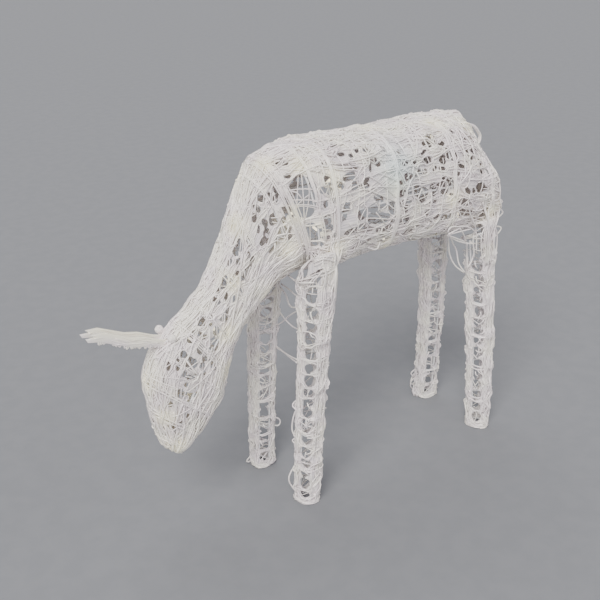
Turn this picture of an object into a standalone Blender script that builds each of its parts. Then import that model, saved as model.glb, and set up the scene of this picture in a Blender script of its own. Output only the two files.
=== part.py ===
"""A grazing reindeer for the garden: welded wire cages wound with acrylic thread and lit from inside.

Metres, +Z up. The animal faces -X with its left side towards -Y, and stands on Z = 0. It is drawn with its
front feet at X = 0, and moved at the end so that the origin is under the middle of its length. Each cage
is one loft through a list of sections, and its thread cover and wire frame come from the same sections.
"""

import math
from collections import namedtuple

import bmesh
import bpy
from mathutils import Vector

# Driving dimensions
HEIGHT = 0.760  # ground to the top of the back
THREAD_WALL = 0.006  # thickness of the wound thread
FRAME_WIRE = 0.005  # square that stands for the frame's round wire
FRAME_CLEARANCE = 0.0030  # between a frame and the thread round it
SEAT_GAP = 0.0006  # between two cages that are clipped together
WINDOW_SHARE = 0.62  # side of a window in the thread against the side of its cell

TAIL_WIRE = 0.007  # diameter of the wound wire of the tail
ANTLER_THICKNESS = 0.007
ANTLER_EDGE = 0.0018  # rounding of an antler's edges
EAR_BALL_RADIUS = 0.0075
EAR_STEM_RADIUS = 0.0045

# How finely the cages are divided: corners of a cover's section, and of the frame's inside it
TORSO_SIDES, TORSO_FRAME_SIDES = 12, 6
NECK_SIDES, NECK_FRAME_SIDES = 8, 4
LEG_SIDES, LEG_FRAME_SIDES = 8, 4
TAIL_SIDES = 8
EAR_SIDES = 10
EAR_BALL_RINGS = 5

# The tables below are drawn at this height, in metres, and follow HEIGHT
DRAWN_HEIGHT = 0.760
FIGURE_SCALE = HEIGHT / DRAWN_HEIGHT

# Crest x and z, keel x and z, half width and squareness of each section, from chest to rump
TORSO_PROFILE = (
    (-0.063, 0.736, 0.030, 0.503, 0.074, 2.4),
    (0.010, 0.752, 0.050, 0.498, 0.096, 2.6),
    (0.085, 0.757, 0.088, 0.500, 0.105, 2.6),
    (0.165, 0.756, 0.170, 0.504, 0.104, 2.6),
    (0.248, 0.756, 0.258, 0.504, 0.102, 2.6),
    (0.335, 0.758, 0.350, 0.502, 0.104, 2.6),
    (0.405, 0.760, 0.440, 0.496, 0.109, 2.5),
    (0.452, 0.758, 0.512, 0.490, 0.106, 2.4),
    (0.478, 0.748, 0.562, 0.494, 0.095, 2.3),
    (0.489, 0.720, 0.567, 0.530, 0.068, 2.1),
)
TORSO_CLOSED_SIDES = (2, 3)  # the crown of the back is wound too densely for windows

# The same from the chest to the muzzle, with the crest and forehead above and the throat and jaw below
NECK_PROFILE = (
    (-0.088, 0.690, -0.015, 0.490, 0.062, 2.3),
    (-0.112, 0.640, -0.050, 0.468, 0.054, 2.3),
    (-0.140, 0.580, -0.085, 0.435, 0.048, 2.3),
    (-0.172, 0.525, -0.112, 0.400, 0.045, 2.3),
    (-0.210, 0.480, -0.135, 0.360, 0.046, 2.3),
    (-0.258, 0.445, -0.150, 0.310, 0.050, 2.3),
    (-0.300, 0.402, -0.158, 0.272, 0.052, 2.3),
    (-0.314, 0.350, -0.184, 0.240, 0.048, 2.3),
    (-0.311, 0.297, -0.208, 0.213, 0.040, 2.3),
    (-0.301, 0.246, -0.231, 0.189, 0.032, 2.3),
    (-0.288, 0.204, -0.252, 0.176, 0.023, 2.2),
)
NECK_CLOSED_SIDES = (1, 2)  # so is the crest of the neck

# A leg: x of its foot, y away from the middle, how far its top leans out, height of its top at the middle
# and how steeply the top rises outwards. Then share of the way up, lean to the rear and half size
Leg = namedtuple("Leg", "foot_x foot_y top_out top_height top_slope profile")
FRONT_LEG = Leg(
    0.000,
    0.085,
    0.006,
    0.538,
    0.8,
    (
        (0.00, 0.000, 0.0240),
        (0.17, 0.002, 0.0245),
        (0.34, 0.004, 0.0250),
        (0.51, 0.008, 0.0260),
        (0.68, 0.012, 0.0275),
        (0.85, 0.016, 0.0310),
        (1.00, 0.018, 0.0330),
    ),
)
HIND_LEG = Leg(
    0.517,
    0.092,
    -0.021,
    0.514,
    0.6,
    (
        (0.00, 0.000, 0.0240),
        (0.17, -0.001, 0.0245),
        (0.34, -0.003, 0.0250),
        (0.51, -0.007, 0.0260),
        (0.68, -0.013, 0.0275),
        (0.85, -0.022, 0.0300),
        (1.00, -0.029, 0.0320),
    ),
)
LEG_POWER = 2.8
LEG_TURN = 0.5  # puts the wires in a leg's corners
LEG_WINDOW_SIDES = (1, 3, 5, 7)  # the middle of each face, between wires

# An antler is a blade in an upright plane: x and z along its upper edge from the crown to the upper prong,
# the notch, and back along its lower edge from the lower prong
ANTLER_OUT = 0.012  # from the middle to the blade's own middle
ANTLER_OUTLINE = (
    (-0.255, 0.425),
    (-0.286, 0.435),
    (-0.318, 0.450),
    (-0.345, 0.457),
    (-0.368, 0.468),
    (-0.394, 0.480),
    (-0.413, 0.481),
    (-0.402, 0.4745),
    (-0.426, 0.476),
    (-0.424, 0.4715),
    (-0.404, 0.467),
    (-0.380, 0.456),
    (-0.350, 0.442),
    (-0.326, 0.434),
    (-0.300, 0.430),
    (-0.260, 0.408),
)

# An ear: foot of its stem inside the crown and middle of its ball, on the animal's right
EAR_FOOT = (-0.256, 0.0215, 0.412)
EAR_BALL = (-0.267, 0.0245, 0.437)

# The tail is a loop of wound wire: x and z of its way out of the rump and back in
TAIL_ROUTE = (
    (0.470, 0.724),
    (0.506, 0.723),
    (0.533, 0.710),
    (0.548, 0.690),
    (0.543, 0.672),
    (0.524, 0.662),
    (0.485, 0.660),
)

# A section of a cage: its middle, the two directions that it spans with their half sizes, its squareness,
# and the share of a side by which its corners are turned from its widest point
Section = namedtuple("Section", "middle up half_height across half_width power turn", defaults=(0.0,))


def clear_scene():
    for thing in list(bpy.data.objects):
        bpy.data.objects.remove(thing, do_unlink=True)


def new_object(name, mesh, material):
    thing = bpy.data.objects.new(name, mesh)
    bpy.context.scene.collection.objects.link(thing)
    mesh.materials.append(material)
    return thing


def principled(name, colour, roughness, metallic=0.0):
    material = bpy.data.materials.new(name)
    material.use_nodes = True
    shader = material.node_tree.nodes["Principled BSDF"]
    shader.inputs["Base Color"].default_value = (*colour, 1.0)
    shader.inputs["Roughness"].default_value = roughness
    shader.inputs["Metallic"].default_value = metallic
    return material


def sections_of(profile):
    """Upright sections of the torso or the neck, each spanning from its crest to its keel."""
    sections = []
    for crest_x, crest_z, keel_x, keel_z, half_width, power in profile:
        crest = Vector((crest_x, 0, crest_z)) * FIGURE_SCALE
        keel = Vector((keel_x, 0, keel_z)) * FIGURE_SCALE
        span = crest - keel
        middle = (crest + keel) / 2
        half_width = half_width * FIGURE_SCALE
        sections.append(
            Section(middle, span.normalized(), span.length / 2, Vector((0, 1, 0)), half_width, power)
        )
    return sections


def moved_along(section, length):
    """The section moved along its own axis, to the rear or down a leg."""
    return section._replace(middle=section.middle + section.across.cross(section.up).normalized() * length)


def torso_sections():
    return sections_of(TORSO_PROFILE)


def neck_sections(gap):
    """The neck starts at the torso's front section, a gap ahead of it."""
    return [moved_along(torso_sections()[0], -gap), *sections_of(NECK_PROFILE)]


def lengthened(sections, at_start, at_end):
    """The sections with the first and the last moved out along the cage by these lengths."""
    first, second, *_, last_but_one, last = sections
    forward = (first.middle - second.middle).normalized() * at_start
    backward = (last.middle - last_but_one.middle).normalized() * at_end
    return [
        first._replace(middle=first.middle + forward),
        *sections[1:-1],
        last._replace(middle=last.middle + backward),
    ]


def leg_sections(leg, side):
    """Level sections of a leg, except the top one, which rises outwards to lie along the torso."""
    sections = []
    for share, lean, half_size in leg.profile:
        out = leg.foot_y + leg.top_out * share
        middle = Vector((leg.foot_x + lean, side * out, leg.top_height * share)) * FIGURE_SCALE
        half_size = half_size * FIGURE_SCALE
        sections.append(
            Section(middle, Vector((1, 0, 0)), half_size, Vector((0, 1, 0)), half_size, LEG_POWER, LEG_TURN)
        )
    sections[-1] = sections[-1]._replace(across=Vector((0, 1, side * leg.top_slope)))
    return sections


def corner_at(section, angle, inward):
    """A point of the section's outline, drawn in by a length. Power 2 is an ellipse, and more is squarer."""
    cosine, sine = math.cos(angle), math.sin(angle)
    across = math.copysign(abs(cosine) ** (2 / section.power), cosine)
    up = math.copysign(abs(sine) ** (2 / section.power), sine)
    return (
        section.middle
        + section.across * across * (section.half_width - inward)
        + section.up * up * (section.half_height - inward)
    )


def ring(section, sides, inward=0.0):
    """The section's corners in turn."""
    return [corner_at(section, 2 * math.pi * (side + section.turn) / sides, inward) for side in range(sides)]


def loft(rings, closed):
    """A tube of quads through the rings, with a cap at each end if it is closed."""
    tube = bmesh.new()
    corners = [[tube.verts.new(point) for point in points] for points in rings]
    for start, end in zip(corners, corners[1:]):
        bridge(tube, start, end)
    if closed:
        tube.faces.new(corners[0])
        tube.faces.new(corners[-1])
    return tube


def object_from(name, tube, material):
    bmesh.ops.recalc_face_normals(tube, faces=tube.faces)
    mesh = bpy.data.meshes.new(name)
    tube.to_mesh(mesh)
    tube.free()
    return new_object(name, mesh, material)


def thread_cover(name, sections, sides, windows, closed_end, material):
    """The wound thread of a cage, its outer face on the sections: a thin wall with windows in it."""
    cover = bmesh.new()
    inner_sections = lengthened(sections, 0, -THREAD_WALL if closed_end else 0)
    outer = [[cover.verts.new(point) for point in ring(s, sides)] for s in sections]
    inner = [[cover.verts.new(point) for point in ring(s, sides, THREAD_WALL)] for s in inner_sections]
    for bay in range(len(sections) - 1):
        for side in range(sides):
            outer_cell = cell_of(outer, bay, side)
            inner_cell = cell_of(inner, bay, side)
            if (bay, side) in windows:
                outer_hole = band_round(cover, outer_cell)
                inner_hole = band_round(cover, inner_cell)
                bridge(cover, outer_hole, inner_hole)
            else:
                cover.faces.new(outer_cell)
                cover.faces.new(inner_cell)
    bridge(cover, outer[0], inner[0])
    if closed_end:
        cover.faces.new(outer[-1])
        cover.faces.new(inner[-1])
    else:
        bridge(cover, outer[-1], inner[-1])
    return object_from(name, cover, material)


def cell_of(rings, bay, side):
    after = (side + 1) % len(rings[bay])
    return rings[bay][side], rings[bay][after], rings[bay + 1][after], rings[bay + 1][side]


def band_round(mesh, cell):
    """A band of thread round a cell. Returns the corners of the window that it leaves."""
    middle = sum((corner.co for corner in cell), Vector()) / len(cell)
    hole = [mesh.verts.new(middle.lerp(corner.co, WINDOW_SHARE)) for corner in cell]
    bridge(mesh, cell, hole)
    return hole


def bridge(mesh, first, second):
    """Joins two closed rows of as many corners with quads."""
    for i in range(len(first)):
        after = (i + 1) % len(first)
        mesh.faces.new((first[i], first[after], second[after], second[i]))


def wire_frame(name, sections, sides, material):
    """The welded frame of a cage, inside its thread: a hoop in each section and a wire at each corner."""
    sections = lengthened(sections, -FRAME_WIRE, -FRAME_WIRE)
    tube = loft([ring(s, sides, THREAD_WALL + FRAME_CLEARANCE) for s in sections], False)
    frame = object_from(name, tube, material)
    wires = frame.modifiers.new("Wires", "WIREFRAME")
    wires.thickness = FRAME_WIRE
    wires.offset = -1.0
    wires.use_boundary = True
    wires.use_even_offset = False
    return frame


def closed_cutter(name, sections, sides, material):
    """A closed cage, larger all round by the seat gap, that trims what is clipped to it."""
    sections = lengthened(sections, SEAT_GAP, SEAT_GAP)
    tube = loft([ring(section, sides, -SEAT_GAP) for section in sections], True)
    cutter = object_from(name, tube, material)
    cutter.hide_render = True
    cutter.display_type = "WIRE"
    return cutter


def trim(thing, cutters):
    for cutter in cutters:
        difference = thing.modifiers.new(cutter.name, "BOOLEAN")
        difference.operation = "DIFFERENCE"
        difference.object = cutter


def windows_in(sections, sides):
    """Every cell of these sides is open, except in the last bay."""
    return {(bay, side) for bay in range(len(sections) - 2) for side in sides}


def build_torso(thread, wire):
    sections = torso_sections()
    sides = [side for side in range(TORSO_SIDES) if side not in TORSO_CLOSED_SIDES]
    windows = windows_in(sections, sides)
    thread_cover("torso_thread_cover", sections, TORSO_SIDES, windows, True, thread)
    wire_frame("torso_wire_frame", sections[:-1], TORSO_FRAME_SIDES, wire)


def build_neck(thread, wire):
    sections = neck_sections(SEAT_GAP)
    sides = [side for side in range(NECK_SIDES) if side not in NECK_CLOSED_SIDES]
    windows = windows_in(sections, sides)
    thread_cover("head_and_neck_thread_cover", sections, NECK_SIDES, windows, True, thread)
    wire_frame("head_and_neck_wire_frame", sections[:-1], NECK_FRAME_SIDES, wire)


def build_leg(name, leg, side, trims, thread, wire):
    sections = leg_sections(leg, side)
    windows = windows_in(sections, LEG_WINDOW_SIDES)
    trim(thread_cover(f"{name}_leg_thread_cover", sections, LEG_SIDES, windows, False, thread), trims)
    trim(wire_frame(f"{name}_leg_wire_frame", sections, LEG_FRAME_SIDES, wire), trims)


def build_antler(name, side, head_trim, thread):
    """A flat blade with a forked end, its foot trimmed to the crown."""
    blade = bmesh.new()
    low, high = [
        [
            blade.verts.new((x * FIGURE_SCALE, side * ANTLER_OUT * FIGURE_SCALE + y, z * FIGURE_SCALE))
            for x, z in ANTLER_OUTLINE
        ]
        for y in (-ANTLER_THICKNESS / 2, ANTLER_THICKNESS / 2)
    ]
    bridge(blade, low, high)
    blade.faces.new(low)
    blade.faces.new(high)
    antler = object_from(name, blade, thread)
    edge = antler.modifiers.new("Rounded edge", "BEVEL")
    edge.width = ANTLER_EDGE
    edge.limit_method = "ANGLE"
    edge.angle_limit = math.radians(60)
    trim(antler, [head_trim])


def build_ear(name, side, head_trim, thread):
    """A small ball on a stem, its foot trimmed to the crown."""
    foot, ball = [Vector((x, side * y, z)) * FIGURE_SCALE for x, y, z in (EAR_FOOT, EAR_BALL)]
    axis = (ball - foot).normalized()
    across = axis.cross(Vector((0, 1, 0))).normalized()
    up = axis.cross(across)
    neck_angle = math.asin(EAR_STEM_RADIUS / EAR_BALL_RADIUS)
    outline = [(foot, EAR_STEM_RADIUS)]
    for i in range(EAR_BALL_RINGS):
        angle = neck_angle + (math.pi - neck_angle) * i / EAR_BALL_RINGS
        outline.append((ball - axis * EAR_BALL_RADIUS * math.cos(angle), EAR_BALL_RADIUS * math.sin(angle)))
    sections = [Section(middle, up, radius, across, radius, 2.0) for middle, radius in outline]
    ear = object_from(name, loft([ring(s, EAR_SIDES) for s in sections], True), thread)
    trim(ear, [head_trim])


def build_tail(torso_trim, thread):
    """A loop of wound wire, its ends trimmed to the rump."""
    route = [Vector((x, 0, z)) * FIGURE_SCALE for x, z in TAIL_ROUTE]
    across = Vector((0, 1, 0))
    sections = []
    for i, point in enumerate(route):
        before, after = route[max(i - 1, 0)], route[min(i + 1, len(route) - 1)]
        up = (after - before).normalized().cross(across)
        sections.append(Section(point, up, TAIL_WIRE / 2, across, TAIL_WIRE / 2, 2.0))
    tail = object_from("tail_loop", loft([ring(s, TAIL_SIDES) for s in sections], True), thread)
    trim(tail, [torso_trim])


def stand_on_origin():
    """Moves everything along X until the origin is under the middle of the overall length."""
    bpy.context.view_layer.update()
    graph = bpy.context.evaluated_depsgraph_get()
    ends = [
        corner[0]
        for thing in bpy.data.objects
        if not thing.hide_render
        for corner in thing.evaluated_get(graph).bound_box
    ]
    for thing in bpy.data.objects:
        thing.location.x = -(min(ends) + max(ends)) / 2


def main():
    clear_scene()
    thread = principled("clear white acrylic thread", (0.86, 0.85, 0.88), 0.35)
    wire = principled("white painted wire", (0.80, 0.80, 0.80), 0.45)
    torso_trim = closed_cutter("torso_trim", torso_sections(), TORSO_SIDES, wire)
    head_trim = closed_cutter("head_and_neck_trim", neck_sections(0), NECK_SIDES, wire)
    build_torso(thread, wire)
    build_neck(thread, wire)
    build_tail(torso_trim, thread)
    for side, side_name in ((-1, "left"), (1, "right")):
        build_leg(f"front_{side_name}", FRONT_LEG, side, (torso_trim, head_trim), thread, wire)
        build_leg(f"hind_{side_name}", HIND_LEG, side, (torso_trim,), thread, wire)
        build_antler(f"{side_name}_antler", side, head_trim, thread)
        build_ear(f"{side_name}_ear", side, head_trim, thread)
    stand_on_origin()


main()
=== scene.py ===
import math

import bpy
import numpy as np
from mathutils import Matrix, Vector


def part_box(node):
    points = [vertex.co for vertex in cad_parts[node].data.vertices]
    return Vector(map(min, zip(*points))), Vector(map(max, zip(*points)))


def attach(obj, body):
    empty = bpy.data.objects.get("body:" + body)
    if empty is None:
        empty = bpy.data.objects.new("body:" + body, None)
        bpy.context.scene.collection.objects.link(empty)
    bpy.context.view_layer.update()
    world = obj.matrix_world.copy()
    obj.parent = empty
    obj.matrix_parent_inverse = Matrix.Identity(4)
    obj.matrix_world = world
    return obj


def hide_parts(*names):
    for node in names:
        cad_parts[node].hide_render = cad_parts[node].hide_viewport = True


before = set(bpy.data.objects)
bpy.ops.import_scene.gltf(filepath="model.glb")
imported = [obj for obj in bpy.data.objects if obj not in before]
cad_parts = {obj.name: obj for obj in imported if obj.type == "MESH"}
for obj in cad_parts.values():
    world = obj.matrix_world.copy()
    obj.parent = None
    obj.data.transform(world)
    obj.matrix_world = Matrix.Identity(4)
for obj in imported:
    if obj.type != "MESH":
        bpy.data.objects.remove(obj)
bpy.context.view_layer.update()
print("frame loaded")

# The cages are drawn in metres with the front feet at x = 0, as in the part's own tables, and moved to the
# frame's place
rumpEndX = 0.567
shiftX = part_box("torso_thread_cover")[1].x - rumpEndX
thinning = 1.0
fullTurn = 2 * math.pi
rng = np.random.default_rng(11)


# Surfaces of the cages

def walked(points):
    # the way gone along a line at each of its points
    return np.concatenate([[0], np.cumsum(np.linalg.norm(np.diff(points, axis=0), axis=1))])


def smoothThrough(values, knots, at):
    # a smooth curve through the given values, read at other places
    slopes = np.gradient(values, knots, axis=0)
    i = np.clip(np.searchsorted(knots, at, side="right") - 1, 0, len(knots) - 2)
    gap = (knots[i + 1] - knots[i])[:, None]
    t = (at - knots[i])[:, None] / gap
    return (
        (2 * t**3 - 3 * t**2 + 1) * values[i]
        + (t**3 - 2 * t**2 + t) * gap * slopes[i]
        + (3 * t**2 - 2 * t**3) * values[i + 1]
        + (t**3 - t**2) * gap * slopes[i + 1]
    )


def smoothLine(points, step):
    # a smooth line through a few given points
    points = np.array(points, float)
    knots = walked(points)
    return smoothThrough(points, knots, np.linspace(0, knots[-1], max(int(knots[-1] / step), 4)))


def sectionRow(crestX, crestZ, keelX, keelZ, halfWidth, squareness, crownTaper=0.0):
    crest = np.array([crestX + shiftX, 0.0, crestZ])
    keel = np.array([keelX + shiftX, 0.0, keelZ])
    return [*(crest + keel) / 2, *(crest - keel) / 2, 0.0, halfWidth, 0.0, squareness, crownTaper]


def legRows(leg, side):
    rows = []
    for share, lean, half in zip(legShape["shares"], leg["leans"], leg["halfWidths"]):
        x, y = leg["footX"] + lean + shiftX, side * (leg["footY"] + leg["topOut"] * share)
        z, squareness = leg["topHeight"] * share, legShape["squareness"]
        rows.append([x, y, z, half, 0, 0, 0, half, 0, squareness, 0])
    rows[-1][8] = rows[-1][3] * side * leg["topSlope"]
    return rows


def cappedRows(rows, bulge):
    # rows that close the far end of a cage with a low dome
    outward = rows[-1, :3] - rows[-2, :3]
    outward = outward / np.linalg.norm(outward)
    more = []
    for share in (0.93, 0.80, 0.64, 0.46, 0.28, 0.10):
        row = rows[-1].copy()
        row[3:9] *= share
        row[:3] += outward * bulge * math.sqrt(1 - share**2)
        more.append(row)
    return np.vstack([rows, more])


def sectionPoints(row, angles, inward=0.0):
    up, across = row[3:6], row[6:9]
    cosine, sine = np.cos(angles), np.sin(angles)
    power = 2 / row[9]
    u = np.sign(cosine) * np.abs(cosine) ** power * (1 - inward / np.linalg.norm(across))
    v = np.sign(sine) * np.abs(sine) ** power * (1 - inward / np.linalg.norm(up))
    u = u * (1 - row[10] * np.clip(v, 0, 1))  # a section may be narrower above its middle
    return row[:3] + u[:, None] * across + v[:, None] * up


def readBetween(grid, i, j, fa, fb):
    # a grid that closes round the cage, read between its points
    nextJ = (j + 1) % grid.shape[1]
    low = grid[i, j] * (1 - fb) + grid[i, nextJ] * fb
    high = grid[i + 1, j] * (1 - fb) + grid[i + 1, nextJ] * fb
    return low * (1 - fa) + high * fa


windowShape = {
    "longer": 0.0030,  # the threads' own width takes this much off a window
    "higher": 0.0032,
    "roundBelow": 0.010,  # smaller windows are round, larger ones more or less square
    "leastSquareness": 1.6,
    "rim": 0.007,
    "clearLevel": 0.32,  # threads are pushed out until the field is this low
    "mostShift": 0.006,
}


class Cage:
    # the outer surface of a cage as a grid: rows along it, columns round it at even spacing

    def __init__(self, rows, columns, bodyRows):
        self.rows, self.columns, self.bodyRows = rows, columns, bodyRows
        self.points = np.empty((len(rows), columns, 3))
        for i, row in enumerate(rows):
            ring = sectionPoints(row, np.linspace(0, fullTurn, 361))
            gone = walked(ring)
            at = np.arange(columns) / columns * gone[-1]
            for axis in range(3):
                self.points[i, :, axis] = np.interp(at, gone, ring[:, axis])
        along = np.gradient(self.points, axis=0)
        around = (np.roll(self.points, -1, 1) - np.roll(self.points, 1, 1)) / 2
        self.lengthAlong = np.linalg.norm(along, axis=2)
        self.lengthAround = np.linalg.norm(around, axis=2)
        normals = np.cross(along, around)
        normals /= np.linalg.norm(normals, axis=2, keepdims=True) + 1e-12
        outward = self.points - rows[:, None, :3]
        flip = np.sign((normals * outward).sum(axis=(1, 2)))
        self.side = 1 if flip[len(rows) // 2] > 0 else -1
        self.normals = normals * np.where(flip == 0, 1, flip)[:, None, None]
        self.area = self.lengthAlong * self.lengthAround
        self.along = np.arange(len(rows))[:, None] / bodyRows + np.zeros((1, columns))
        self.around = np.arange(columns)[None, :] / columns + np.zeros((len(rows), 1))
        self.relief = np.zeros((len(rows), columns))

    def read(self, grid, a, b):
        a = np.clip(a, 0, len(self.rows) - 1.001)
        i = a.astype(int)
        j = np.floor(b).astype(int)
        fa, fb = a - i, b - j
        if grid.ndim == 3:
            fa, fb = fa[..., None], fb[..., None]
        return readBetween(grid, i, j % self.columns, fa, fb)

    def place(self, a, b, depth):
        out = self.read(self.relief, a, b) - depth
        return self.read(self.points, a, b) + self.read(self.normals, a, b) * out[..., None]

    def pointAt(self, along, around):
        # one point of the surface, by its share along and round the cage
        a, b = np.array([along * self.bodyRows]), np.array([around * self.columns])
        return self.place(a, b, np.zeros(1))[0]

    def cell(self, along, around):
        # where a window's middle lies on the grid, and how large the grid's cell is there
        a, b = along * self.bodyRows, around * self.columns
        i, j = int(np.clip(a, 0, len(self.rows) - 1)), int(b) % self.columns
        return a, b, self.lengthAlong[i, j], self.lengthAround[i, j]

    def bumps(self, size):
        # smooth random rises and falls about 0 over the whole cage
        rowsWide = max(int(self.lengthAlong.mean() * len(self.rows) / size), 2)
        columnsWide = max(int(self.lengthAround.mean() * self.columns / size), 3)
        coarse = rng.normal(0, 1, (rowsWide + 2, columnsWide))
        a = np.linspace(0, rowsWide, len(self.rows))[:, None] + np.zeros((1, self.columns))
        b = self.around * columnsWide
        i, j = a.astype(int), b.astype(int)
        fa, fb = a - i, b - j
        return readBetween(coarse, i, j, fa * fa * (3 - 2 * fa), fb * fb * (3 - 2 * fb))

    def ridges(self, shares, height):
        # low rises over the hoops
        for share in shares:
            self.relief += height * np.exp(-(((self.along - share) / 0.012) ** 2))

    def windowField(self, windows):
        # 1 well inside a window of the winding, 0.5 on its rim and 0 clear of it, for windows given by
        # their share along and round the cage, length, height and tilt
        field = np.zeros(self.points.shape[:2])
        a = np.arange(len(self.rows))[:, None]
        b = np.arange(self.columns)[None, :]
        half = self.columns / 2
        for k, (along, around, length, height, tilt) in enumerate(windows):
            a0, b0, stepA, stepB = self.cell(along, around)
            length, height = length + windowShape["longer"], height + windowShape["higher"]
            u = (a - a0) * stepA
            v = ((b - b0 + half) % self.columns - half) * stepB
            cosine, sine = math.cos(tilt), math.sin(tilt)
            p = np.abs(u * cosine + v * sine) / (length / 2)
            q = np.abs(v * cosine - u * sine) / (height / 2)
            power = windowShape["leastSquareness"] + 1.6 * (k * 0.618 % 1)
            if max(length, height) < windowShape["roundBelow"]:
                away = np.hypot(p, q) - 1
            else:
                away = (p**power + q**power) ** (1 / power) - 1
            inside = 0.5 - away * min(length, height) / 2 / windowShape["rim"]
            field = np.maximum(field, np.clip(inside, 0, 1))
        return field

    def slopes(self, grid):
        slopeA = np.gradient(grid, axis=0) / self.lengthAlong
        slopeB = (np.roll(grid, -1, 1) - np.roll(grid, 1, 1)) / 2 / self.lengthAround
        return slopeA, slopeB

    def outOfWindows(self, a, b, field, slopes):
        # moves points down the window field until they are clear of the windows
        for _ in range(3):
            over = np.clip(self.read(field, a, b) - windowShape["clearLevel"], 0, None)
            gA, gB = (self.read(slope, a, b) for slope in slopes)
            steep = np.hypot(gA, gB) + 1e-6
            shift = np.minimum(over / steep, windowShape["mostShift"]) * (over > 0)
            a = a - shift * gA / steep / self.read(self.lengthAlong, a, b)
            b = b - shift * gB / steep / self.read(self.lengthAround, a, b)
        return a, b


# How threads are laid: walks are tried in batches, and those that cover most bare cage are kept
laying = {
    "batch": 96,
    "kept": 30,
    "push": 0.05,  # how hard a window's slope turns a thread away
    "mostSlope": 60,
    "fade": 0.97,  # share of a turn that is left after each step
    "leastPoints": 6,
    "windowCost": 2.0,  # how much worse a walk counts that crosses a window
    "waveLengths": (0.06, 0.16),  # of a thread's rise and fall within the winding
    "waveShare": 0.35,
    "thicknesses": (0.8, 0.95, 1.1, 1.35),
}


def walkers(cage, a, b, headings, steps, stride, sway, slopes):
    # threads laid as smooth walks on the cage: each sways about its heading and is steered round the windows
    amount, *waveRange = sway
    count = len(headings)
    waves = rng.uniform(*waveRange, (2, count))
    phases = rng.uniform(0, fullTurn, (2, count))
    amounts = rng.uniform(0.4, 1.0, (2, count)) * amount
    turned = np.zeros(count)
    paths = np.empty((steps + 1, 2, count))
    alive = np.ones((steps + 1, count), bool)
    paths[0] = a, b
    for step in range(steps):
        swayed = (amounts * np.sin(fullTurn * (step * stride) / waves + phases)).sum(axis=0)
        angle = headings + turned + swayed
        da, db = np.cos(angle), np.sin(angle)
        pushA, pushB = (cage.read(slope, a, b) for slope in slopes)
        pushed = np.clip(da * pushB - db * pushA, -laying["mostSlope"], laying["mostSlope"])
        turned = (turned - laying["push"] * stride * pushed) * laying["fade"]
        a = a + da * stride / cage.read(cage.lengthAlong, a, b)
        b = b + db * stride / cage.read(cage.lengthAround, a, b)
        alive[step + 1] = alive[step] & (a > 0) & (a < len(cage.rows) - 1.5)
        paths[step + 1] = a, b
    return paths, alive


def windCage(cage, field, winding):
    # threads are added until they would cover the cage as often as its layers ask
    layers, stride, kinds, batch = winding["layers"], winding["stride"], winding["kinds"], laying["batch"]
    low, high = winding["depths"]
    covered = np.zeros(cage.area.shape)
    cell = np.maximum(cage.area, 1e-8)
    slopes = cage.slopes(field)
    goal = (layers * cell).sum() / threads["width"] * thinning
    laid, strands = 0.0, []
    while laid < goal:
        need = np.clip(layers - covered, 0.02, None) * cell
        chance = need.ravel() / need.sum()
        _, heading, spread, lengths, sway = kinds[rng.choice(len(kinds), p=[kind[0] for kind in kinds])]
        start = rng.choice(len(chance), size=batch, p=chance)
        a = np.clip(start // cage.columns + rng.uniform(-0.4, 0.4, batch), 0, None)
        b = start % cage.columns + rng.uniform(-0.4, 0.4, batch)
        headings = rng.normal(heading, spread, batch) * rng.choice([-1, 1], batch)
        headings += rng.choice([0, math.pi], batch)
        steps = int(rng.uniform(*lengths) / stride)
        paths, alive = walkers(cage, a, b, headings, steps, stride, sway, slopes)
        rowsAt = np.clip(np.round(paths[:, 0]).astype(int), 0, len(cage.rows) - 1)
        columnsAt = np.round(paths[:, 1]).astype(int) % cage.columns
        lack = np.clip((layers - covered)[rowsAt, columnsAt], -2.0, 1.2)
        lack = lack - laying["windowCost"] * field[rowsAt, columnsAt]
        score = (lack * alive).sum(axis=0) / (alive.sum(axis=0) + 6)
        for k in np.argsort(-score)[:laying["kept"]]:
            length = int(alive[:, k].sum())
            if length < laying["leastPoints"]:
                continue
            pathA, pathB = cage.outOfWindows(paths[:length, 0, k], paths[:length, 1, k], field, slopes)
            s = np.arange(length) * stride
            wave = np.sin(fullTurn * s / rng.uniform(*laying["waveLengths"]) + rng.uniform(0, 6.28))
            depth = rng.uniform(low, high) + (high - low) * laying["waveShare"] * wave
            line = cage.place(pathA, pathB, np.clip(depth, low, high))
            strands.append((line, rng.choice(laying["thicknesses"])))
            under = rowsAt[:length, k], columnsAt[:length, k]
            np.add.at(covered, under, stride * threads["width"] / cell[under])
            laid += length * stride
    return strands


threads = {
    "width": 0.0028,
    "radius": 0.0014,
    "thickness": (0.8, 1.3),  # of the threads in bands, lanes and tufts, against the radius
    "bandStep": 0.009,
    "bandWave": 0.0006,
    "laneStep": 0.007,
    "laneWave": 0.0008,
    "tuftReach": (0.010, 0.028),
    "startDepth": 0.0015,  # tufts and crossing threads begin this deep
    "halveAt": 900,  # a winding of so many threads is made in two pieces
}


def bandStrands(cage, share, count, width, depths, arc=(0.3, 0.8)):
    # threads wound round the cage over one hoop
    strands = []
    for _ in range(count):
        girth = cage.columns * rng.uniform(*arc)
        steps = int(girth * cage.lengthAround.mean() / threads["bandStep"])
        b = rng.uniform(0, cage.columns) + np.linspace(0, girth, steps)
        rise = rng.normal(0, width) + rng.normal(0, width) * np.sin(np.linspace(0, rng.uniform(3, 9), steps))
        a = share * cage.bodyRows + rise / cage.lengthAlong.mean()
        depth = rng.uniform(*depths)
        wave = np.sin(np.linspace(0, rng.uniform(5, 20), steps))
        depth = depth + threads["bandWave"] * wave
        strands.append((cage.place(a, b, depth), rng.uniform(*threads["thickness"])))
    return strands


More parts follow.
